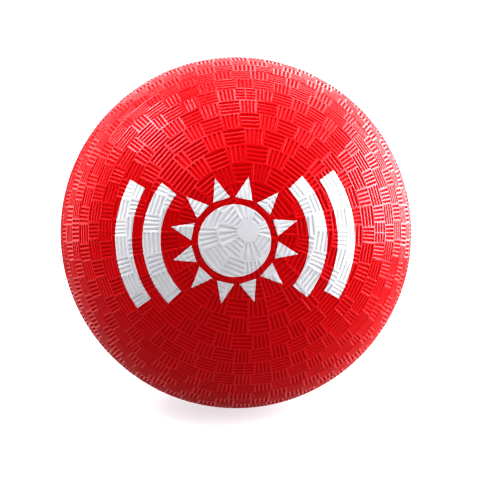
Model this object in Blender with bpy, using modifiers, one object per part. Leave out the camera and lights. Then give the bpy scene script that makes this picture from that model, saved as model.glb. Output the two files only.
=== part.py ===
"""Playground rubber ball, 8.5 in across, built up in the layers of the real ball.

A moulded rubber cover goes over a thread-wound carcass and a butyl bladder. A rubber valve housing is
bonded through all three, behind a reinforcing patch, and a self-sealing needle plug is pushed into it.

Frame: +Z is up, and the origin is the middle of the small flat that the ball rests on. The printed side
faces -Y and the valve faces +Y. Every outline is drawn in a half plane through the valve axis, as
(distance from the axis, distance along the axis from the ball's centre towards the valve).
"""

import math

import bmesh
import bpy
from mathutils import Vector

# Ball, in metres
BALL_RADIUS = 0.108
CONTACT_RADIUS = 0.0096
COVER_WALL = 0.0015
WINDING_WALL = 0.0004
BLADDER_WALL = 0.0008
LAYER_GAP = 0.0003

# Valve opening through the layers, and the smooth dish moulded round it in the cover
HOLE_RADIUS = 0.0049
DISH_DEPTH = 0.0007
DISH_FLOOR_RADIUS = 0.0068
DISH_RIM_RADIUS = 0.0077

# Patch and housing
PATCH_RADIUS = 0.018
PATCH_WALL = 0.0010
HOUSING_RADIUS = 0.0046
HOUSING_TIP_RADIUS = 0.0038
HOUSING_LENGTH = 0.0168
HOUSING_BELOW_DISH = 0.0001
FLANGE_RADIUS = 0.0115
FLANGE_WALL = 0.0012
HEAD_SEAT_RADIUS = 0.0034
HEAD_SEAT_DEPTH = 0.0012
BORE_TOP_RADIUS = 0.0026
BORE_TIP_RADIUS = 0.0022

# Plug
PLUG_GAP = 0.00015
PLUG_BELOW_HOUSING = 0.0002
PLUG_HEAD_THICKNESS = 0.0008
PLUG_HEAD_ROUNDING = 0.0002
PLUG_TIP_CLEARANCE = 0.0003
NEEDLE_MOUTH_RADIUS = 0.0011
NEEDLE_THROAT_RADIUS = 0.0004
NEEDLE_FUNNEL_DEPTH = 0.0035

# Facets
BALL_SEGMENTS = 40
VALVE_SEGMENTS = 32
AXIS_MERGE = 0.00001
SHARP_ANGLE = math.radians(30)

# Derived sizes
CENTRE_HEIGHT = math.sqrt(BALL_RADIUS**2 - CONTACT_RADIUS**2)
COVER_INNER = BALL_RADIUS - COVER_WALL
WINDING_OUTER = COVER_INNER - LAYER_GAP
WINDING_INNER = WINDING_OUTER - WINDING_WALL
BLADDER_OUTER = WINDING_INNER - LAYER_GAP
BLADDER_INNER = BLADDER_OUTER - BLADDER_WALL
PATCH_OUTER = BLADDER_INNER - LAYER_GAP
PATCH_INNER = PATCH_OUTER - PATCH_WALL
FLANGE_OUTER = PATCH_INNER - LAYER_GAP
FLANGE_INNER = FLANGE_OUTER - FLANGE_WALL
DISH_FLOOR = BALL_RADIUS - DISH_DEPTH
HOUSING_TOP = DISH_FLOOR - HOUSING_BELOW_DISH
HOUSING_TIP = HOUSING_TOP - HOUSING_LENGTH
HEAD_SEAT = HOUSING_TOP - HEAD_SEAT_DEPTH
PLUG_TOP = HOUSING_TOP - PLUG_BELOW_HOUSING
PLUG_TIP = HOUSING_TIP + PLUG_TIP_CLEARANCE

# Finishes: material name, (red, green, blue), roughness
COVER_FINISH = ("cover_rubber", (0.62, 0.004, 0.012), 0.38)
WINDING_FINISH = ("winding_thread", (0.78, 0.76, 0.70), 0.80)
BLADDER_FINISH = ("bladder_butyl", (0.018, 0.018, 0.020), 0.55)
PATCH_FINISH = ("patch_rubber", (0.10, 0.10, 0.11), 0.60)
HOUSING_FINISH = ("housing_rubber", (0.030, 0.030, 0.033), 0.50)
PLUG_FINISH = ("plug_rubber", (0.060, 0.058, 0.056), 0.45)


def clear_scene():
    """Removes whatever the scene holds."""
    for obj in list(bpy.data.objects):
        bpy.data.objects.remove(obj)


def new_collection(name):
    """An empty collection of that name in the scene."""
    collection = bpy.data.collections.new(name)
    bpy.context.scene.collection.children.link(collection)
    return collection


def material(finish):
    """A plain material of one colour and one roughness."""
    name, colour, roughness = finish
    made = bpy.data.materials.new(name)
    made.use_nodes = True
    shader = made.node_tree.nodes["Principled BSDF"]
    shader.inputs["Base Color"].default_value = (*colour, 1.0)
    shader.inputs["Roughness"].default_value = roughness
    shader.inputs["Metallic"].default_value = 0.0
    return made


def on_sphere(radius, distance):
    """The outline point of a sphere at that distance from the valve axis, on the valve's side."""
    return (distance, math.sqrt(radius**2 - distance**2))


def sphere_outline(radius, start_distance):
    """Outline of a sphere from a hole of that radius round the valve down to the printed side's pole."""
    ring_angle = 2 * math.pi / BALL_SEGMENTS
    points = [on_sphere(radius, start_distance)]
    for ring in range(1, BALL_SEGMENTS // 2):
        angle = ring * ring_angle
        points.append((radius * math.sin(angle), radius * math.cos(angle)))
    points.append((0.0, -radius))
    return points


def cap_outline(radius, start_distance, end_distance, pieces):
    """Outline of a sphere's cap between two distances from the valve axis."""
    step = (end_distance - start_distance) / pieces
    return [on_sphere(radius, start_distance + step * index) for index in range(pieces + 1)]


def turned(name, outline, segments, finish, collection, centre, origin=0.0, closed=False):
    """A piece turned about the valve axis, its own origin that far along the axis from the centre.

    The outline runs down the outer side. It is closed for a ring, and ends on the axis otherwise.
    """
    mesh = bpy.data.meshes.new(name)
    points = [(radius, 0.0, along - origin) for radius, along in outline]
    edges = [(index, index + 1) for index in range(len(points) - 1)]
    if closed:
        edges.append((len(points) - 1, 0))
    mesh.from_pydata(points, edges, [])
    mesh.materials.append(material(finish))
    obj = bpy.data.objects.new(name, mesh)
    collection.objects.link(obj)
    obj.parent = centre
    obj.location = (0.0, 0.0, origin)
    screw = obj.modifiers.new("turn", "SCREW")
    screw.axis = "Z"
    screw.steps = segments
    screw.render_steps = segments
    screw.use_merge_vertices = True
    screw.merge_threshold = AXIS_MERGE
    screw.use_smooth_shade = True
    return obj


def cut(obj, cutter):
    """Takes the cutter's solid away from the piece."""
    boolean = obj.modifiers.new("cut", "BOOLEAN")
    boolean.operation = "DIFFERENCE"
    boolean.solver = "EXACT"
    boolean.object = cutter


def settle_shading(obj):
    """Applies the piece's modifiers, and shades it smooth between its real edges."""
    bpy.context.view_layer.update()
    graph = bpy.context.evaluated_depsgraph_get()
    shaped = bpy.data.meshes.new_from_object(obj.evaluated_get(graph))
    obj.modifiers.clear()
    obj.data = shaped
    shaped.shade_smooth()
    shaped.set_sharp_from_angle(angle=SHARP_ANGLE)


def make_contact_cutter(collection):
    """A block whose top is the ground, under the ball. It flattens the cover where the ball rests."""
    width = 4 * CONTACT_RADIUS
    cutter = bpy.data.objects.new("contact_cutter", bpy.data.meshes.new("contact_cutter"))
    form = bmesh.new()
    bmesh.ops.create_cube(form, size=width)
    bmesh.ops.translate(form, verts=form.verts, vec=Vector((0.0, 0.0, -width / 2)))
    form.to_mesh(cutter.data)
    form.free()
    collection.objects.link(cutter)
    cutter.hide_render = True
    cutter.display_type = "WIRE"
    return cutter


def make_cover(collection, centre, contact_cutter):
    """The outer skin, with the dished opening for the valve and the flat that the ball rests on."""
    inside = sphere_outline(COVER_INNER, HOLE_RADIUS)
    outside = sphere_outline(BALL_RADIUS, DISH_RIM_RADIUS)
    dish = [(HOLE_RADIUS, DISH_FLOOR), (DISH_FLOOR_RADIUS, DISH_FLOOR)]
    outline = inside[::-1] + dish + outside
    cover = turned("cover", outline, BALL_SEGMENTS, COVER_FINISH, collection, centre)
    cut(cover, contact_cutter)
    return cover


def make_layer(name, outer, inner, finish, collection, centre):
    """A hollow layer under the cover, open at the valve."""
    outline = sphere_outline(inner, HOLE_RADIUS)[::-1] + sphere_outline(outer, HOLE_RADIUS)
    return turned(name, outline, BALL_SEGMENTS, finish, collection, centre)


def make_valve_patch(collection, centre):
    """The ring that reinforces the bladder from inside, between it and the valve's flange."""
    outer = cap_outline(PATCH_OUTER, HOLE_RADIUS, PATCH_RADIUS, 4)
    inner = cap_outline(PATCH_INNER, HOLE_RADIUS, PATCH_RADIUS, 4)
    outline = outer + inner[::-1]
    return turned(
        "valve_patch", outline, VALVE_SEGMENTS, PATCH_FINISH, collection, centre, PATCH_OUTER, True
    )


def make_valve_housing(collection, centre):
    """The tube that lines the opening and hangs into the bladder, with the flange that seals it."""
    mouth = [
        (HEAD_SEAT_RADIUS, HEAD_SEAT),
        (HEAD_SEAT_RADIUS, HOUSING_TOP),
        (HOUSING_RADIUS, HOUSING_TOP),
    ]
    flange = cap_outline(FLANGE_OUTER, HOUSING_RADIUS, FLANGE_RADIUS, 3)
    flange += cap_outline(FLANGE_INNER, HOUSING_RADIUS, FLANGE_RADIUS, 3)[::-1]
    tip = [
        (HOUSING_TIP_RADIUS, HOUSING_TIP),
        (BORE_TIP_RADIUS, HOUSING_TIP),
        (BORE_TOP_RADIUS, HEAD_SEAT),
    ]
    outline = mouth + flange + tip
    return turned(
        "valve_housing", outline, VALVE_SEGMENTS, HOUSING_FINISH, collection, centre, HOUSING_TOP, True
    )


def make_valve_plug(collection, centre):
    """The self-sealing plug. Its needle slit is closed at rest, so only the funnel above it is open."""
    head_radius = HEAD_SEAT_RADIUS - PLUG_GAP
    head_bottom = PLUG_TOP - PLUG_HEAD_THICKNESS
    outline = [
        (0.0, PLUG_TOP - NEEDLE_FUNNEL_DEPTH),
        (NEEDLE_THROAT_RADIUS, PLUG_TOP - NEEDLE_FUNNEL_DEPTH),
        (NEEDLE_MOUTH_RADIUS, PLUG_TOP),
        (head_radius - PLUG_HEAD_ROUNDING, PLUG_TOP),
        (head_radius, PLUG_TOP - PLUG_HEAD_ROUNDING),
        (head_radius, head_bottom),
        (BORE_TOP_RADIUS - PLUG_GAP, head_bottom),
        (BORE_TIP_RADIUS - PLUG_GAP, PLUG_TIP),
        (0.0, PLUG_TIP),
    ]
    return turned("valve_plug", outline, VALVE_SEGMENTS, PLUG_FINISH, collection, centre, PLUG_TOP)


def main():
    clear_scene()
    parts = new_collection("playground_ball")
    cutters = new_collection("cutters")
    centre = bpy.data.objects.new("ball_centre", None)
    parts.objects.link(centre)
    centre.location = (0.0, 0.0, CENTRE_HEIGHT)
    centre.rotation_euler = (-math.pi / 2, 0.0, 0.0)
    pieces = [
        make_cover(parts, centre, make_contact_cutter(cutters)),
        make_layer("winding", WINDING_OUTER, WINDING_INNER, WINDING_FINISH, parts, centre),
        make_layer("bladder", BLADDER_OUTER, BLADDER_INNER, BLADDER_FINISH, parts, centre),
        make_valve_patch(parts, centre),
        make_valve_housing(parts, centre),
        make_valve_plug(parts, centre),
    ]
    for piece in pieces:
        settle_shading(piece)


main()
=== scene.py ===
"""The looks of the playground ball: its embossed skin, its print, its valve and every material.

Points on the skin are placed by two angles and a height. The polar angle runs from the printed side's
pole (-Y) to the parting line, and from the valve's pole (+Y) for the back half. The turn angle runs
from +X towards +Z. The height is measured outwards from the ball's sphere.
"""

import math

import bmesh
import bpy
import numpy as np
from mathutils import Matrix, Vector


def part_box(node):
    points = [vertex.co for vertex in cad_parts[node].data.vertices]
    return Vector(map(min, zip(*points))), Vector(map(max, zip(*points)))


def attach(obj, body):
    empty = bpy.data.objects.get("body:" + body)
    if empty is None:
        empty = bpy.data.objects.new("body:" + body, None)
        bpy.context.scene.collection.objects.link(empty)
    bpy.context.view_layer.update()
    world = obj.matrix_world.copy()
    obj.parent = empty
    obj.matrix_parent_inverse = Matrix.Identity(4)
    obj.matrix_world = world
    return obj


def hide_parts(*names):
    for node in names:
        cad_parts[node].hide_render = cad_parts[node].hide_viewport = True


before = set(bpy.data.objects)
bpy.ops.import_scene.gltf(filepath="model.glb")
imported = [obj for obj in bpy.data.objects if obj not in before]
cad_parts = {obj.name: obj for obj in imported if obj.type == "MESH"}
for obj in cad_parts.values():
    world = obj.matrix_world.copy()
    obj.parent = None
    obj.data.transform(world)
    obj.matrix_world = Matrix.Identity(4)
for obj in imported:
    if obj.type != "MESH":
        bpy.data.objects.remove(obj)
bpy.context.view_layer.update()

MM = 0.001

# The ball, from the CAD
COVER_LOW, COVER_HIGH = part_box("cover")
WINDING_LOW, WINDING_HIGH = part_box("winding")
RADIUS = (COVER_HIGH.x - COVER_LOW.x) / 2
CENTRE = Vector((0.0, 0.0, COVER_HIGH.z - RADIUS))
LAYER_GAP = 0.3 * MM
INNER_RADIUS = (WINDING_HIGH.x - WINDING_LOW.x) / 2 + LAYER_GAP

# Embossing: rings of square tiles, each stamped with parallel grooves that run along or across the ring.
# A ring is laid out four times round, from a seam. For each ring, from the pole out: the tiles in a
# quarter, how the first is stamped, how far the seam is off in degrees, how much longer a tile is where
# its grooves run along the ring, and the odd tiles that close the quarter up, by place and relative width.
CAP_ANGLE = math.radians(2.57)
RINGS = (
    (2, "along", 0.0, 1.0, {}),
    (3, "along", 2.0, 1.2, {}),
    (5, "along", -1.5, 1.2, {}),
    (6, "along", 1.1, 1.25, {}),
    (8, "along", 0.3, 1.5, {1: 0.9, 3: 1.15, 5: 1.25, 7: 0.7}),
    (9, "along", -8.5, 1.3, {}),
    (10, "across", 1.6, 1.3, {4: 0.9, 8: 1.15}),
    (12, "across", -0.1, 1.35, {0: 0.7, 10: 0.67}),
    (12, "along", 0.0, 1.4, {0: 1.2, 1: 1.15}),
    (14, "along", 0.7, 1.25, {3: 0.75, 13: 0.67}),
    (14, "across", -0.9, 1.15, {6: 1.27}),
    (15, "along", -0.1, 1.05, {}),
    (16, "along", -0.6, 1.1, {}),
    (16, "across", -0.3, 1.1, {7: 1.25}),
    (17, "along", 0.6, 1.1, {}),
    (18, "across", -0.5, 1.1, {10: 0.75}),
    (18, "along", 0.4, 1.1, {}),
)
RING_ANGLE = (math.pi / 2 - CAP_ANGLE) / len(RINGS)
SEAM_TURN = math.radians(51.5)

# A tile's grooves: how far apart they are, how wide a ridge is against a groove, and how deep they are.
# A groove's side slopes over GROOVE_SIDE, or over the share SIDE_SHARE of a narrow groove's width. The
# flat land between two tiles' grooves is LAND wide, and each tile's own points reach FILLET into it.
GROOVE_PITCH = 2.2 * MM
RIDGE_TO_GROOVE = 0.62
GROOVE_DEPTH = 0.50 * MM
GROOVE_SIDE = 0.24 * MM
SIDE_SHARE = 0.4
LAND = 0.98 * MM
FILLET = 0.14 * MM

# The tile, by ring and place, whose grooves a land cuts in two
SPLIT_TILE = (7, 5)
SPLIT_LAND = 0.6 * MM

# The halves of the skin
FRONT, BACK = 0, 1

# The small errors of a mould cut by hand: in a groove's edges, and in a tile's size, tilt (in degrees),
# place and depth. Each ring of each half draws its own.
SEED = 7
HALF_SEEDS = 100
EDGE_ERROR = 0.03 * MM
SIZE_SPREAD = (0.985, 1.01)
TILT_ERROR = 1.1
PLACE_ERROR = 0.10 * MM
DEPTH_SPREAD = (0.88, 1.08)

# The raised line before one of the rings, the flash at the parting line, and the gap between the halves
BEAD_RING = 10
BEAD_REACH = 0.22 * MM
BEAD_HEIGHT = 0.12 * MM
FLASH_REACH = 0.30 * MM
FLASH_HEIGHT = 0.08 * MM
HALF_GAP = 0.01 * MM

# The smooth caps at the poles, with the front's circle of points at that share of its angle, and how many
# points and steps the plain stretches take
CAP_RIM = 0.6
CAP_POINTS = 24
INNER_CAP_ANGLE = math.radians(5)
LINE_POINTS = 480
SMOOTH_POINTS = 120
INNER_STEPS = 18

# Keeps a face with no area from dividing by zero
TINY_AREA = 1e-12


def towards(turn, rise):
    """The direction with that turn from -Y towards +X and that height above the horizon, in degrees."""
    turn, rise = math.radians(turn), math.radians(rise)
    return Vector((math.sin(turn) * math.cos(rise), -math.cos(turn) * math.cos(rise), math.sin(rise)))


def link(obj):
    """Puts an object in the scene."""
    bpy.context.scene.collection.objects.link(obj)
    return obj


class Skin:
    """Points given by polar angle, turn angle and height, and the faces that join them."""

    def __init__(self):
        self.points = []
        self.count = 0
        self.quads = []
        self.triangles = []

    def add(self, polar, turn, height):
        """Adds points, and returns the row of them."""
        polar, turn, height = np.broadcast_arrays(polar, turn, height)
        block = np.stack([polar.ravel(), turn.ravel(), height.ravel()], axis=1)
        self.points.append(block)
        first = self.count
        self.count += len(block)
        return np.arange(first, self.count)

    def circle(self, polar, height, count):
        """A closed row at one polar angle."""
        turns = SEAM_TURN + 2 * math.pi * np.arange(count) / count
        return self.add(polar, turns, height), turns

    def join(self, upper, lower):
        """Fills the strip between two closed rows, the upper one nearer the start of the outline."""
        upper_row, upper_turns = upper
        lower_row, lower_turns = lower
        offset = (lower_turns - upper_turns[0] + math.pi) % (2 * math.pi) - math.pi
        start = int(np.argmin(np.abs(offset)))
        lower_row = np.roll(lower_row, -start)
        lower_turns = upper_turns[0] + np.roll(offset, -start)
        lower_turns = np.unwrap(lower_turns)
        self.fill(
            np.append(upper_row, upper_row[0]),
            np.append(upper_turns, upper_turns[0] + 2 * math.pi),
            np.append(lower_row, lower_row[0]),
            np.append(lower_turns, lower_turns[0] + 2 * math.pi),
        )

    def fill(self, upper, upper_keys, lower, lower_keys):
        """Triangles between two open rows, each step taking the shorter diagonal."""
        i, j = 0, 0
        last_i, last_j = len(upper) - 1, len(lower) - 1
        while i < last_i or j < last_j:
            if j == last_j:
                take_upper = True
            elif i == last_i:
                take_upper = False
            else:
                across_upper = abs(upper_keys[i + 1] - lower_keys[j])
                across_lower = abs(lower_keys[j + 1] - upper_keys[i])
                take_upper = across_upper <= across_lower
            if take_upper:
                self.triangles.append((upper[i], lower[j], upper[i + 1]))
                i += 1
            else:
                self.triangles.append((upper[i], lower[j], lower[j + 1]))
                j += 1

    def fan(self, pole, row, inwards):
        """Closes a row on a pole. The outline runs towards the pole when inwards is true."""
        following = np.roll(row, -1)
        for here, after in zip(row, following):
            self.triangles.append((here, pole, after) if inwards else (pole, here, after))


def profile_lines(size, grooves, ridge=None):
    """Lines across a tile and how deep each lies, from 0 on the land to 1 on a groove's floor."""
    stamped = size - LAND
    width = stamped / (grooves + RIDGE_TO_GROOVE * (grooves - 1))
    if ridge is not None:
        width = (stamped - ridge * (grooves - 1)) / grooves
    pitch = width + (stamped - grooves * width) / max(grooves - 1, 1)
    side = min(GROOVE_SIDE, SIDE_SHARE * width)
    places, depths = [-stamped / 2 - FILLET], [0.0]
    for groove in range(grooves):
        left = -stamped / 2 + groove * pitch
        places += [left, left + side, left + width - side, left + width]
        depths += [0.0, 1.0, 1.0, 0.0]
    return np.array(places + [-places[0]]), np.array(depths + [0.0])


def quarter_tiles(ring, polar):
    """(stamp, middle, width) of each tile in a quarter of the ring, measured from the seam."""
    count, first, _, ratio, odd = RINGS[ring]
    second = "across" if first == "along" else "along"
    stamps = [second if place % 2 else first for place in range(count)]
    shares = np.array(
        [odd.get(place, 1.0) * (ratio if stamp == "along" else 1.0) for place, stamp in enumerate(stamps)]
    )
    widths = shares / shares.sum() * math.pi / 2 * RADIUS * math.sin(polar)
    middles = np.cumsum(widths) - widths / 2
    if count % 2 == 0:
        middles -= widths[0] / 2
    return list(zip(stamps, middles, widths))


def stamp_tile(skin, stamp, polar, turn, width, split, random):
    """One tile's grid of points and its faces, with the small errors of a mould cut by hand."""
    height = RADIUS * RING_ANGLE
    if stamp == "across":
        x, x_depth = profile_lines(width, max(1, round(width / GROOVE_PITCH)))
        y, y_depth = profile_lines(height, 1)
    else:
        x, x_depth = profile_lines(width, 2 if split else 1, SPLIT_LAND)
        y, y_depth = profile_lines(height, round(height / GROOVE_PITCH))
    x = x * random.uniform(*SIZE_SPREAD) + random.uniform(-EDGE_ERROR, EDGE_ERROR, len(x))
    y = y * random.uniform(*SIZE_SPREAD) + random.uniform(-EDGE_ERROR, EDGE_ERROR, len(y))
    tilt = math.radians(random.uniform(-TILT_ERROR, TILT_ERROR))
    shift_x, shift_y = random.uniform(-PLACE_ERROR, PLACE_ERROR, 2)
    grid_y, grid_x = np.meshgrid(y, x, indexing="ij")
    turned_x = grid_x * math.cos(tilt) - grid_y * math.sin(tilt) + shift_x
    turned_y = grid_x * math.sin(tilt) + grid_y * math.cos(tilt) + shift_y
    depth = GROOVE_DEPTH * random.uniform(*DEPTH_SPREAD)
    row = skin.add(
        polar + turned_y / RADIUS,
        turn + turned_x / (RADIUS * math.sin(polar)),
        -depth * np.minimum.outer(y_depth, x_depth),
    ).reshape(grid_x.shape)
    corners = (row[:-1, :-1], row[1:, :-1], row[1:, 1:], row[:-1, 1:])
    skin.quads.append(np.stack([corner.ravel() for corner in corners], axis=1))
    return row


def stamp_ring(skin, ring, half):
    """One ring of tiles and the lands between them. Returns its closed inner and outer rows."""
    random = np.random.default_rng(SEED + HALF_SEEDS * half + ring)
    polar = CAP_ANGLE + (ring + 0.5) * RING_ANGLE
    seam = SEAM_TURN + math.radians(RINGS[ring][2])
    grids = []
    for quarter in range(4):
        for place, (stamp, middle, width) in enumerate(quarter_tiles(ring, polar)):
            turn = seam + quarter * math.pi / 2 + middle / (RADIUS * math.sin(polar))
            split = (ring, place) == SPLIT_TILE
            grids.append(stamp_tile(skin, stamp, polar, turn, width, split, random))
    points = np.concatenate(skin.points)
    for grid, following in zip(grids, grids[1:] + grids[:1]):
        right, left = grid[:, -1], following[:, 0]
        skin.fill(left, points[left, 0], right, points[right, 0])
    rows = []
    for edge in (0, -1):
        row = np.concatenate([grid[edge] for grid in grids])
        rows.append((row, points[row, 1]))
    return rows


def emboss(skin, previous, half, rings):
    """Rings of tiles from that row on, with a raised line before one of them. Returns the last row."""
    for ring in rings:
        if ring == BEAD_RING:
            edge = CAP_ANGLE + ring * RING_ANGLE
            for shift, height in ((-BEAD_REACH, 0.0), (0.0, BEAD_HEIGHT), (BEAD_REACH, 0.0)):
                row = skin.circle(edge + shift / RADIUS, height, LINE_POINTS)
                skin.join(previous, row)
                previous = row
        upper, lower = stamp_ring(skin, ring, half)
        skin.join(previous, upper)
        previous = lower
    return previous


def parting_edge(skin, previous):
    """The thin flash that stands at the parting line."""
    for shift, height in ((-FLASH_REACH, 0.0), (-HALF_GAP, FLASH_HEIGHT)):
        row = skin.circle(math.pi / 2 + shift / RADIUS, height, LINE_POINTS)
        skin.join(previous, row)
        previous = row
    return previous


def inner_circles(skin, previous, last_polar):
    """The smooth inside of a half, from the parting line to that polar angle."""
    for step in range(INNER_STEPS + 1):
        polar = math.pi / 2 + (last_polar - math.pi / 2) * step / INNER_STEPS
        polar = min(polar, math.pi / 2 - HALF_GAP / RADIUS)
        row = skin.circle(polar, INNER_RADIUS - RADIUS, SMOOTH_POINTS)
        skin.join(previous, row)
        previous = row
    return previous


def skin_arrays(skin, half, relief=1.0):
    """The points in space, pressed flat where the ball rests, their normals, triangles and heights."""
    polar, turn, height = np.concatenate(skin.points).T
    height = height * relief
    side = -1.0 if half == FRONT else 1.0
    out = np.stack(
        [np.sin(polar) * np.cos(turn), side * np.cos(polar), np.sin(polar) * np.sin(turn)], axis=1
    )
    places = out * (RADIUS + height)[:, None] + np.array(CENTRE)
    outer = RADIUS + height > (RADIUS + INNER_RADIUS) / 2
    lift = np.maximum(0.0, -(out[:, 2] * RADIUS + CENTRE.z))
    places[:, 2] = np.maximum(places[:, 2] + np.where(outer, lift, 0.0), 0.0)
    quads = np.concatenate(skin.quads)
    triangles = np.array(skin.triangles)
    if half == BACK:
        quads, triangles = quads[:, ::-1], triangles[:, ::-1]
    normals = np.zeros_like(places)
    a, b, c, d = (places[quads[:, corner]] for corner in range(4))
    spread_normals(normals, quads, np.cross(c - a, d - b), out)
    a, b, c = (places[triangles[:, corner]] for corner in range(3))
    spread_normals(normals, triangles, np.cross(b - a, c - a), out)
    normals /= np.linalg.norm(normals, axis=1, keepdims=True)
    return places, normals, np.concatenate([split_quads(quads, height), triangles]), height


def spread_normals(normals, faces, face_normals, out):
    """Adds each face's normal to its corners, and less of a steep face's, so that the lands stay flat."""
    length = np.linalg.norm(face_normals, axis=1) + TINY_AREA
    level = np.abs((face_normals * out[faces[:, 0]]).sum(axis=1)) / length
    for corner in range(faces.shape[1]):
        np.add.at(normals, faces[:, corner], face_normals * level[:, None])


def split_quads(quads, height):
    """Two triangles for each quad, cut along the diagonal that follows a groove's corner."""
    ends = height[quads]
    straight = np.abs(ends[:, 0] - ends[:, 2]) >= np.abs(ends[:, 1] - ends[:, 3])
    quads = np.where(straight[:, None], quads, np.roll(quads, -1, axis=1))
    return np.concatenate([quads[:, [0, 1, 2]], quads[:, [0, 2, 3]]])


def mesh_object(name, places, triangles, normals):
    """A smooth mesh object of triangles."""
    mesh = bpy.data.meshes.new(name)
    mesh.vertices.add(len(places))
    mesh.vertices.foreach_set("co", places.astype(np.float32).ravel())
    mesh.loops.add(triangles.size)
    mesh.loops.foreach_set("vertex_index", triangles.astype(np.int32).ravel())
    mesh.polygons.add(len(triangles))
    mesh.polygons.foreach_set("loop_start", np.arange(0, triangles.size, 3, dtype=np.int32))
    mesh.update(calc_edges=True)
    mesh.shade_smooth()
    mesh.normals_split_custom_set_from_vertices(normals)
    return link(bpy.data.objects.new(name, mesh))


def skin_object(name, skin, half):
    """The skin as an object, with how deep each point lies kept as an attribute."""
    places, normals, triangles, height = skin_arrays(skin, half)
    obj = mesh_object(name, places, triangles, normals)
    groove = obj.data.attributes.new("groove", "FLOAT", "POINT")
    groove.data.foreach_set("value", np.clip(-height / GROOVE_DEPTH, 0, 1).astype(np.float32))
    return obj


def start_front(skin):
    """The smooth cap at the printed side's pole, and its closed row."""
    pole = skin.add(0.0, 0.0, 0.0)[0]
    cap = skin.circle(CAP_ANGLE * CAP_RIM, 0.0, CAP_POINTS)
    skin.fan(pole, cap[0], inwards=False)
    return cap


def make_front():
    """The printed half of the skin."""
    skin = Skin()
    last = emboss(skin, start_front(skin), FRONT, range(len(RINGS)))
    last = parting_edge(skin, last)
    last = inner_circles(skin, last, INNER_CAP_ANGLE)
    inner_pole = skin.add(0.0, 0.0, INNER_RADIUS - RADIUS)[0]
    skin.fan(inner_pole, last[0], inwards=True)
    return skin_object("cover_front", skin, FRONT)


# The dish round the valve, the rim round the dish, the smooth pad, and the first ring of tiles outside it
DISH_HOLE = 4.9 * MM
DISH_FLOOR_RADIUS = 6.6 * MM
DISH_RADIUS = 7.3 * MM
DISH_DEPTH = 0.7 * MM
DISH_EDGE = 0.25 * MM
RIM_RADIUS = 8.6 * MM
RIM_REACH = 0.7 * MM
RIM_HEIGHT = 0.10 * MM
PAD_RADIUS = 12.5 * MM
BACK_FIRST_RING = 1


def make_back():
    """The valve's half of the skin: a smooth pad round the dished opening, then the tiles."""
    skin = Skin()
    floor = RADIUS - DISH_DEPTH
    dish = (
        (DISH_HOLE, floor - DISH_EDGE),
        (DISH_HOLE + DISH_EDGE, floor),
        (DISH_FLOOR_RADIUS, floor),
        (DISH_RADIUS, floor + DISH_EDGE),
    )
    rim = (
        (RIM_RADIUS - RIM_REACH, 0.0),
        (RIM_RADIUS, RIM_HEIGHT),
        (RIM_RADIUS + RIM_REACH, 0.0),
        (PAD_RADIUS, 0.0),
    )
    rows = []
    for distance, along in dish:
        polar = math.atan2(distance, along)
        rows.append(skin.circle(polar, math.hypot(distance, along) - RADIUS, SMOOTH_POINTS))
    for distance, height in rim:
        rows.append(skin.circle(distance / RADIUS, height, SMOOTH_POINTS))
    for row, following in zip(rows, rows[1:]):
        skin.join(row, following)
    last = emboss(skin, rows[-1], BACK, range(BACK_FIRST_RING, len(RINGS)))
    last = parting_edge(skin, last)
    last = inner_circles(skin, last, math.asin(DISH_HOLE / INNER_RADIUS))
    skin.join(last, rows[0])
    return skin_object("cover_back", skin, BACK)


# Print: a thin film of ink that follows the embossing, cut to the outlines of a sun between two pairs
# of arcs. The print's direction and lean are in degrees. Its outlines are in the plane that faces it, in
# millimetres, with x across and y up. An arc is given by its inner and outer radius, and by how many
# degrees it reaches either way. The stencil that cuts them reaches between two shares of the ball's radius.
PRINT_TURN = -3.4
PRINT_RISE = -2.5
PRINT_LEAN = 2.7
FILM_RINGS = 8
INK_BASE = 0.012 * MM
INK_TOP = 0.050 * MM
INK_RELIEF = 0.6
SUN_RADIUS = 17.5
SUN_RAYS = 12
RAY_SPAN = (20.5, 31.5)
RAY_WIDTH = 8.6
ARCS = ((36.0, 45.5, 41.0), (51.0, 60.5, 32.5))
DISC_POINTS = 96
ARC_STEPS = 40
EDGE_STEP = 1.0
EDGE_WANDER = 0.07
STENCIL_SPAN = (0.6, 1.2)


def make_film():
    """A closed film over the middle of the printed half, thicker in the grooves."""
    skin = Skin()
    last, _ = emboss(skin, start_front(skin), FRONT, range(FILM_RINGS))
    under, under_normals, triangles, _ = skin_arrays(skin, FRONT)
    over, over_normals, _, _ = skin_arrays(skin, FRONT, INK_RELIEF)
    count = len(over)
    following = np.roll(last, -1)
    rim = np.concatenate(
        [
            np.stack([following, last, last + count], axis=1),
            np.stack([following, last + count, following + count], axis=1),
        ]
    )
    faces = np.concatenate([triangles, triangles[:, ::-1] + count, rim])
    layers = np.concatenate([over + over_normals * INK_TOP, under + under_normals * INK_BASE])
    return mesh_object("print", layers, faces, np.concatenate([over_normals, -under_normals]))


def arc_outline(inner, outer, reach, side):
    """A band of a ring, between two radii and up to that many degrees either way."""
    angles = [math.radians(-reach + 2 * reach * step / ARC_STEPS) for step in range(ARC_STEPS + 1)]
    far = [(outer * math.cos(a), outer * math.sin(a)) for a in angles]
    near = [(inner * math.cos(a), inner * math.sin(a)) for a in reversed(angles)]
    return [(side * x, side * y) for x, y in far + near]


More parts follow.
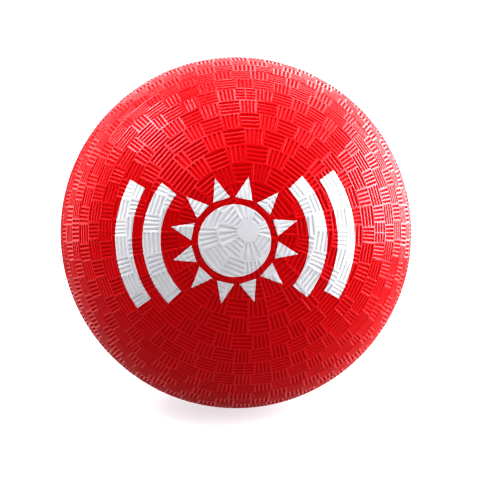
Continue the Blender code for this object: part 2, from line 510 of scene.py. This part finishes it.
def print_outlines():
    """Every closed outline of the print, each running anticlockwise."""
    round_disc = [2 * math.pi * step / DISC_POINTS for step in range(DISC_POINTS)]
    outlines = [[(SUN_RADIUS * math.cos(a), SUN_RADIUS * math.sin(a)) for a in round_disc]]
    for ray in range(SUN_RAYS):
        turn = 2 * math.pi * (ray + 0.5) / SUN_RAYS
        cos, sin = math.cos(turn), math.sin(turn)
        triangle = ((RAY_SPAN[0], -RAY_WIDTH / 2), (RAY_SPAN[1], 0.0), (RAY_SPAN[0], RAY_WIDTH / 2))
        outlines.append([(x * cos - y * sin, x * sin + y * cos) for x, y in triangle])
    for inner, outer, reach in ARCS:
        outlines += [arc_outline(inner, outer, reach, side) for side in (1, -1)]
    return outlines


def uneven(outline, random):
    """The outline with the slightly unsteady edge of ink pressed onto a rough surface."""
    points = []
    for (x0, y0), (x1, y1) in zip(outline, outline[1:] + outline[:1]):
        steps = max(1, round(math.hypot(x1 - x0, y1 - y0) / EDGE_STEP))
        for step in range(steps):
            share = step / steps
            wander_x, wander_y = random.uniform(-EDGE_WANDER, EDGE_WANDER, 2)
            points.append((x0 + (x1 - x0) * share + wander_x, y0 + (y1 - y0) * share + wander_y))
    return points


def make_stencil():
    """Solid prisms through the printed side, one for each outline."""
    out = towards(PRINT_TURN, PRINT_RISE)
    level = Vector((0, 0, 1)).cross(out).normalized()
    lean = math.radians(PRINT_LEAN)
    across = level * math.cos(lean) + out.cross(level) * math.sin(lean)
    up = out.cross(across)
    random = np.random.default_rng(SEED)
    points, faces = [], []
    for outline in print_outlines():
        outline = uneven(outline, random)
        first, count = len(points), len(outline)
        for share in STENCIL_SPAN:
            points += [CENTRE + out * share * RADIUS + (across * x + up * y) * MM for x, y in outline]
        back = list(range(first, first + count))
        front = list(range(first + count, first + 2 * count))
        faces += [back[::-1], front]
        for here in range(count):
            after = (here + 1) % count
            faces.append([back[here], back[after], front[after], front[here]])
    mesh = bpy.data.meshes.new("stencil")
    mesh.from_pydata(points, [], faces)
    return link(bpy.data.objects.new("stencil", mesh))


def make_print():
    """The print: the film where it lies inside the outlines."""
    stencil = make_stencil()
    film = make_film()
    cut = film.modifiers.new("cut", "BOOLEAN")
    cut.operation = "INTERSECT"
    cut.solver = "MANIFOLD"
    cut.object = stencil
    smooth = film.modifiers.new("smooth", "WEIGHTED_NORMAL")
    smooth.weight = 100
    evaluated = film.evaluated_get(bpy.context.evaluated_depsgraph_get())
    mesh = bpy.data.meshes.new_from_object(evaluated)
    bpy.data.objects.remove(film)
    bpy.data.objects.remove(stencil)
    return link(bpy.data.objects.new("print", mesh))


# Valve: the housing and plug seen in the back's dish, with the rounded edges of moulded rubber
HOUSING_LOW, HOUSING_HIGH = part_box("valve_housing")
PLUG_LOW, PLUG_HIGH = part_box("valve_plug")
TURN_STEPS = 64
CORNER_STEPS = 4
CORNER_SHARE = 0.45
SHARP_ANGLE = math.radians(50)

# The housing: a seat for the plug's head, a moulded ring round it, the tube and the flange
SEAT_RADIUS = 3.4 * MM
SEAT_DEPTH = 1.2 * MM
SLEEVE_RING_RADIUS = 4.0 * MM
SLEEVE_RING_DEPTH = 0.15 * MM
BORE_RADIUS = 2.6 * MM
BORE_TIP_RADIUS = 2.2 * MM
TUBE_RADIUS = 4.6 * MM
TUBE_TIP_RADIUS = 3.8 * MM
FLANGE_RADIUS = 11.5 * MM
FLANGE_BELOW_COVER = 4.6 * MM
FLANGE_DROP = 0.6 * MM
FLANGE_THICKNESS = 1.2 * MM
FLANGE_EDGE = 1.1 * MM
HOUSING_ROUNDING = 0.25 * MM

# The plug: the head and its funnel, the stem, the waist in the stem and the blunt tip. DRAFT is the slight
# slope that lets moulded rubber out of its mould.
DRAFT = 0.05 * MM
HEAD_RADIUS = 3.25 * MM
HEAD_THICKNESS = 0.8 * MM
FUNNEL_DEPTH = 3.5 * MM
FUNNEL_THROAT = 0.4 * MM
FUNNEL_MOUTH = 1.1 * MM
FUNNEL_LIP = 1.6 * MM
FUNNEL_LIP_DEPTH = 0.1 * MM
STEM_RADIUS = 2.45 * MM
WAIST_TOP = 4.0 * MM
WAIST_BOTTOM = 5.3 * MM
WAIST_SLOPE = 0.3 * MM
WAIST_RADIUS = 2.30 * MM
LOWER_STEM_RADIUS = 2.36 * MM
PLUG_TIP_RADIUS = 1.6 * MM
PLUG_TIP_SHOULDER = (2.05 * MM, 0.4 * MM)
PLUG_ROUNDING = 0.2 * MM


def rounded(outline, closed, reach):
    """The outline with each corner cut back by up to that much and curved."""
    points = []
    count = len(outline)
    for place, (distance, along) in enumerate(outline):
        if not closed and place in (0, count - 1):
            points.append((distance, along))
            continue
        corner = Vector((distance, along))
        before = Vector(outline[place - 1]) - corner
        after = Vector(outline[(place + 1) % count]) - corner
        start = corner + before.normalized() * min(reach, CORNER_SHARE * before.length)
        end = corner + after.normalized() * min(reach, CORNER_SHARE * after.length)
        for step in range(CORNER_STEPS + 1):
            share = step / CORNER_STEPS
            point = start * (1 - share) ** 2 + corner * 2 * share * (1 - share) + end * share**2
            points.append((max(point.x, 0.0), point.y))
    return points


def turned(name, outline):
    """A solid turned about the valve's axis. An outline that starts on the axis ends on it too."""
    points, rows = [], []
    for distance, along in outline:
        count = 1 if distance == 0.0 else TURN_STEPS
        rows.append(list(range(len(points), len(points) + count)))
        for step in range(count):
            turn = 2 * math.pi * step / TURN_STEPS
            place = Vector((distance * math.cos(turn), along, distance * math.sin(turn)))
            points.append(CENTRE + place)
    pairs = list(zip(rows, rows[1:]))
    if outline[0][0] > 0.0:
        pairs.append((rows[-1], rows[0]))
    faces = []
    for row, following in pairs:
        for step in range(TURN_STEPS):
            after = step + 1
            face = [
                row[step % len(row)],
                row[after % len(row)],
                following[after % len(following)],
                following[step % len(following)],
            ]
            faces.append(list(dict.fromkeys(face)))
    mesh = bpy.data.meshes.new(name)
    mesh.from_pydata(points, [], faces)
    shaped = bmesh.new()
    shaped.from_mesh(mesh)
    bmesh.ops.recalc_face_normals(shaped, faces=shaped.faces)
    shaped.to_mesh(mesh)
    shaped.free()
    mesh.shade_smooth()
    mesh.set_sharp_from_angle(angle=SHARP_ANGLE)
    return link(bpy.data.objects.new(name, mesh))


def make_housing():
    """The tube that lines the opening, with its flange under the bladder."""
    top, tip = HOUSING_HIGH.y, HOUSING_LOW.y
    flange_top = COVER_HIGH.y - FLANGE_BELOW_COVER
    outline = [
        (BORE_RADIUS, top - SEAT_DEPTH),
        (SEAT_RADIUS, top - SEAT_DEPTH),
        (SEAT_RADIUS, top),
        (SLEEVE_RING_RADIUS - SLEEVE_RING_DEPTH, top),
        (SLEEVE_RING_RADIUS, top - SLEEVE_RING_DEPTH),
        (SLEEVE_RING_RADIUS + SLEEVE_RING_DEPTH, top),
        (TUBE_RADIUS, top),
        (TUBE_RADIUS, flange_top),
        (FLANGE_RADIUS, flange_top - FLANGE_DROP),
        (FLANGE_RADIUS, flange_top - FLANGE_DROP - FLANGE_EDGE),
        (TUBE_RADIUS, flange_top - FLANGE_THICKNESS),
        (TUBE_TIP_RADIUS, tip),
        (BORE_TIP_RADIUS, tip),
    ]
    return turned("valve_sleeve", rounded(outline, True, HOUSING_ROUNDING))


def make_plug():
    """The plug, with the funnel that takes the pump's needle."""
    top, tip = PLUG_HIGH.y, PLUG_LOW.y
    shoulder_radius, shoulder_height = PLUG_TIP_SHOULDER
    outline = [
        (0.0, top - FUNNEL_DEPTH),
        (FUNNEL_THROAT, top - FUNNEL_DEPTH),
        (FUNNEL_MOUTH, top - FUNNEL_LIP_DEPTH),
        (FUNNEL_LIP, top),
        (HEAD_RADIUS, top - DRAFT),
        (HEAD_RADIUS, top - HEAD_THICKNESS),
        (STEM_RADIUS, top - HEAD_THICKNESS - DRAFT),
        (STEM_RADIUS - DRAFT, top - WAIST_TOP),
        (WAIST_RADIUS, top - WAIST_TOP - WAIST_SLOPE),
        (WAIST_RADIUS, top - WAIST_BOTTOM + WAIST_SLOPE),
        (LOWER_STEM_RADIUS, top - WAIST_BOTTOM),
        (shoulder_radius, tip + shoulder_height),
        (PLUG_TIP_RADIUS, tip),
        (0.0, tip),
    ]
    return turned("valve_core", rounded(outline, False, PLUG_ROUNDING))


class Paint:
    """A material, and short ways to add its nodes."""

    def __init__(self, name, colour, roughness, specular=0.5):
        self.material = bpy.data.materials.new(name)
        self.material.use_nodes = True
        self.tree = self.material.node_tree
        self.shader = self.tree.nodes["Principled BSDF"]
        self.set("Base Color", (*colour, 1.0))
        self.set("Roughness", roughness)
        self.set("Specular IOR Level", specular)
        self.place = self.node("ShaderNodeTexCoord").outputs["Object"]

    def set(self, socket, value):
        """Gives one of the shader's sockets a value, or wires it to another node's output."""
        self.give(self.shader.inputs[socket], value)

    def give(self, socket, value):
        """The same, for any socket."""
        if isinstance(value, bpy.types.NodeSocket):
            self.tree.links.new(value, socket)
        else:
            socket.default_value = value

    def node(self, kind, inputs=None, **settings):
        """A new node with those inputs and settings."""
        made = self.tree.nodes.new(kind)
        for name, value in settings.items():
            setattr(made, name, value)
        for name, value in (inputs or {}).items():
            self.give(made.inputs[name], value)
        return made

    def noise(self, size, detail=3.0):
        """Noise whose patches are about that large, from 0 to 1."""
        inputs = {"Vector": self.place, "Scale": 1.0 / size, "Detail": detail}
        return self.node("ShaderNodeTexNoise", inputs).outputs["Fac"]

    def remap(self, value, low, high, new_low, new_high):
        """A value moved from one range to another, and kept inside it."""
        inputs = {"Value": value, "From Min": low, "From Max": high, "To Min": new_low, "To Max": new_high}
        return self.node("ShaderNodeMapRange", inputs).outputs["Result"]

    def mix(self, share, first, second):
        """Two colours mixed."""
        made = self.node("ShaderNodeMix", data_type="RGBA")
        self.give(made.inputs["Factor"], share)
        for name, colour in (("A", first), ("B", second)):
            socket = [one for one in made.inputs if one.name == name and one.type == "RGBA"][0]
            self.give(socket, colour if isinstance(colour, bpy.types.NodeSocket) else (*colour, 1.0))
        return [one for one in made.outputs if one.type == "RGBA"][0]

    def math(self, operation, first, second):
        """Two values put together by that operation."""
        made = self.node("ShaderNodeMath", operation=operation)
        self.give(made.inputs[0], first)
        self.give(made.inputs[1], second)
        return made.outputs[0]

    def bump(self, height, distance, strength=1.0):
        """Small relief from a height of 0 to 1, that distance deep."""
        inputs = {"Height": height, "Distance": distance, "Strength": strength}
        self.set("Normal", self.node("ShaderNodeBump", inputs).outputs["Normal"])


def cover_paint():
    """Red rubber: polished lands, and duller grooves. The lands' colour carries a faint painted sheen, a
    little more green and blue than the groove floors' deeper red.
    """
    paint = Paint("cover_rubber", (0.7, 0.002, 0.008), 0.3, specular=0.85)
    groove = paint.node("ShaderNodeAttribute", attribute_name="groove").outputs["Fac"]
    mottle = paint.noise(28 * MM, 4.0)
    grain = paint.noise(0.45 * MM, 3.0)
    # Painted sheen: the lands' red has a little more green and blue than the groove floors', a pinker tone
    # that stands in for the gloss the lands catch. The groove floors get a deeper, slightly brighter red,
    # and the groove depth mixes the two.
    land_red_and_painted_sheen = paint.mix(mottle, (0.64, 0.0006, 0.006), (0.70, 0.0014, 0.012))
    floor = paint.mix(mottle, (0.66, 0.0003, 0.002), (0.72, 0.0006, 0.004))
    paint.set("Base Color", paint.mix(groove, land_red_and_painted_sheen, floor))
    dull = paint.remap(grain, 0.3, 0.7, -0.03, 0.03)
    rough = paint.remap(groove, 0.0, 1.0, 0.25, 0.95)
    paint.set("Roughness", paint.math("ADD", rough, dull))
    paint.set("Specular Tint", (1.0, 0.42, 0.50, 1.0))
    paint.set("Sheen Weight", 0.16)
    paint.set("Sheen Roughness", 0.35)
    paint.set("Sheen Tint", (1.0, 0.75, 0.75, 1.0))
    paint.bump(grain, 0.02 * MM, 0.6)
    return paint.material


def ink_paint():
    """Matt white ink, faintly scuffed."""
    paint = Paint("print_ink", (0.79, 0.79, 0.82), 0.45, specular=0.3)
    scuff = paint.remap(paint.noise(6 * MM, 6.0), 0.35, 0.65, 0.0, 1.0)
    paint.set("Base Color", paint.mix(scuff, (0.76, 0.76, 0.80), (0.81, 0.81, 0.84)))
    paint.set("Roughness", paint.remap(scuff, 0.0, 1.0, 0.38, 0.52))
    paint.bump(paint.noise(0.5 * MM), 0.02 * MM, 0.5)
    return paint.material


def black_rubber(name, colour, roughness, grain=0.5 * MM):
    """Black moulded rubber with a fine grain."""
    paint = Paint(name, colour, roughness, specular=0.4)
    fine = paint.noise(grain, 4.0)
    dust = paint.remap(paint.noise(2.5 * MM, 5.0), 0.45, 0.75, 0.0, 0.35)
    paint.set("Base Color", paint.mix(dust, colour, tuple(2.5 * part for part in colour)))
    paint.set("Roughness", paint.remap(fine, 0.3, 0.7, roughness - 0.06, roughness + 0.06))
    paint.bump(fine, 0.03 * MM, 0.7)
    return paint.material


def thread_paint():
    """Pale nylon thread crossing itself, set in latex."""
    paint = Paint("winding_thread", (0.62, 0.58, 0.50), 0.7, specular=0.3)
    strands = []
    for turn in (0.6, -0.9, 1.9):
        spun = paint.node("ShaderNodeMapping", {"Vector": paint.place, "Rotation": (turn, 0.4, turn)})
        thread = {"Vector": spun.outputs["Vector"], "Scale": 90.0, "Distortion": 0.8}
        strands.append(paint.node("ShaderNodeTexWave", thread).outputs["Fac"])
    upper = paint.math("MAXIMUM", strands[0], paint.math("MAXIMUM", strands[1], strands[2]))
    paint.set("Base Color", paint.mix(upper, (0.34, 0.29, 0.22), (0.72, 0.69, 0.62)))
    paint.bump(upper, 0.25 * MM)
    return paint.material


def dress(obj, material):
    """Gives an object that one material."""
    obj.data.materials.clear()
    obj.data.materials.append(material)


# Studio: the world's light, the floor and its own light, and what the camera sees of the floor besides:
# how much paler it is, and how much it glows
WORLD_FILL = 0.1
FLOOR_RADIUS = 0.7
FLOOR_POINTS = 96
FLOOR_LIGHT = 0.27
FLOOR_PALER = (0.27, 0.29, 0.30, 1.0)
FLOOR_GLOW = (0.14, 0.17, 0.18, 1.0)

# Soft rectangular lights round the ball: turn and height in degrees, size in metres, and how bright the
# light's surface is, whatever its size
SOFTBOX_DISTANCE = 1.2
SOFTBOXES = (
    ("right_front", 60, 15, (0.7, 0.9), 1.5),
    ("right", 90, 15, (0.6, 0.9), 6.8),
    ("back_right", 120, 15, (0.8, 0.9), 2.6),
    ("back", 168, 15, (1.5, 0.9), 0.55),
    ("back_left", -120, 15, (0.8, 0.9), 1.2),
    ("upper_right", 90, 50, (0.9, 0.9), 1.0),
    ("upper_back_right", 135, 50, (0.9, 0.9), 1.1),
    ("upper_back", 180, 50, (1.2, 0.9), 0.9),
    ("upper_left", -90, 50, (0.5, 0.5), 8.5),
    ("front_left", -45, 45, (0.8, 0.8), 2.4),
    ("front_right", 45, 45, (0.8, 0.8), 0.9),
    ("top", 0, 85, (0.5, 0.5), 4.6),
)

# The camera stands a little to the left of the printed side's pole, level with the ball's centre, and is
# aimed a little to the right of that centre and below it
CAMERA_TURN = -3.0
CAMERA_RISE = -0.5
CAMERA_DISTANCE = 4.0 * RADIUS
CAMERA_LENS = 51.0
CAMERA_SENSOR = 36.0
CAMERA_AIM = (2.4 * MM, -4.4 * MM, 0.0)


def add_softbox(name, turn, rise, size, brightness):
    """A soft rectangular light that faces the ball."""
    data = bpy.data.lights.new(name, "AREA")
    data.shape = "RECTANGLE"
    data.size, data.size_y = size
    data.energy = brightness * math.pi * size[0] * size[1]
    light = link(bpy.data.objects.new(name, data))
    light.location = CENTRE + towards(turn, rise) * SOFTBOX_DISTANCE
    light.rotation_euler = towards(turn, rise).to_track_quat("Z", "Y").to_euler()


def seen_and_felt(tree, seen, felt):
    """Shows one shader to the camera and lights the object by another."""
    choose = tree.nodes.new("ShaderNodeMixShader")
    tree.links.new(tree.nodes.new("ShaderNodeLightPath").outputs["Is Camera Ray"], choose.inputs["Fac"])
    tree.links.new(felt, choose.inputs[1])
    tree.links.new(seen, choose.inputs[2])
    return choose.outputs[0]


def make_floor():
    """A round floor, lit from beneath, and exposed until only the shadow under the ball shows."""
    mesh = bpy.data.meshes.new("floor")
    turns = [2 * math.pi * step / FLOOR_POINTS for step in range(FLOOR_POINTS)]
    rim = [(FLOOR_RADIUS * math.cos(turn), FLOOR_RADIUS * math.sin(turn), 0) for turn in turns]
    mesh.from_pydata(rim, [], [range(FLOOR_POINTS)])
    floor = link(bpy.data.objects.new("floor", mesh))
    paint = Paint("floor_white", (0.15, 0.15, 0.15), 0.7, specular=0.1)
    paint.set("Emission Color", (1.0, 1.0, 1.0, 1.0))
    paint.set("Emission Strength", FLOOR_LIGHT)
    tree = paint.tree
    seen = paint.shader.outputs[0]
    for kind, colour in (("ShaderNodeBsdfDiffuse", FLOOR_PALER), ("ShaderNodeEmission", FLOOR_GLOW)):
        both = paint.node("ShaderNodeAddShader")
        tree.links.new(seen, both.inputs[0])
        tree.links.new(paint.node(kind, {"Color": colour}).outputs[0], both.inputs[1])
        seen = both.outputs[0]
    shown = seen_and_felt(tree, seen, paint.shader.outputs[0])
    tree.links.new(shown, tree.nodes["Material Output"].inputs["Surface"])
    dress(floor, paint.material)


def make_studio():
    """The floor, a white backdrop that the ball doesn't feel, and the softboxes."""
    make_floor()
    world = bpy.data.worlds.new("studio")
    bpy.context.scene.world = world
    world.use_nodes = True
    tree = world.node_tree
    felt = tree.nodes["Background"]
    felt.inputs["Strength"].default_value = WORLD_FILL
    seen = tree.nodes.new("ShaderNodeBackground")
    for background in (felt, seen):
        background.inputs["Color"].default_value = (1, 1, 1, 1)
    shown = seen_and_felt(tree, seen.outputs[0], felt.outputs[0])
    tree.links.new(shown, tree.nodes["World Output"].inputs["Surface"])
    for softbox in SOFTBOXES:
        add_softbox(*softbox)
    view = bpy.context.scene.view_settings
    view.view_transform = "Standard"
    view.look = "Very High Contrast"


def make_camera():
    """The camera, at the photograph's viewing angle."""
    data = bpy.data.cameras.new("camera")
    data.lens = CAMERA_LENS
    data.sensor_width = CAMERA_SENSOR
    camera = link(bpy.data.objects.new("camera", data))
    away = towards(CAMERA_TURN, CAMERA_RISE)
    camera.location = CENTRE + away * CAMERA_DISTANCE
    rotation = (-away).to_track_quat("-Z", "Y")
    aim = CENTRE + rotation @ Vector(CAMERA_AIM)
    camera.rotation_euler = (aim - camera.location).to_track_quat("-Z", "Y").to_euler()
    bpy.context.scene.camera = camera


def add_piece(obj, body, slot, material, *replaced):
    """Dresses a piece, joins it to a body and hides the CAD parts that it stands for."""
    dress(obj, material)
    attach(obj, body)
    if replaced:
        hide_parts(*replaced)


def main():
    """Makes every piece and dresses the hidden layers, then sets up the studio."""
    red = cover_paint()
    add_piece(make_front(), "ball", "cover_rubber", red, "cover")
    add_piece(make_back(), "ball", "cover_rubber", red, "cover")
    add_piece(make_print(), "ball", "print_ink", ink_paint())
    housing = black_rubber("housing_rubber", (0.018, 0.018, 0.020), 0.55)
    add_piece(make_housing(), "ball", "housing_rubber", housing, "valve_housing")
    plug = black_rubber("plug_rubber", (0.030, 0.029, 0.028), 0.42)
    add_piece(make_plug(), "plug", "plug_rubber", plug, "valve_plug")
    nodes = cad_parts
    dress(nodes["winding"], thread_paint())
    dress(nodes["bladder"], black_rubber("bladder_butyl", (0.018, 0.018, 0.020), 0.5, 1.5 * MM))
    dress(nodes["valve_patch"], black_rubber("patch_rubber", (0.08, 0.08, 0.09), 0.6, 1.0 * MM))
    make_studio()
    make_camera()


main()
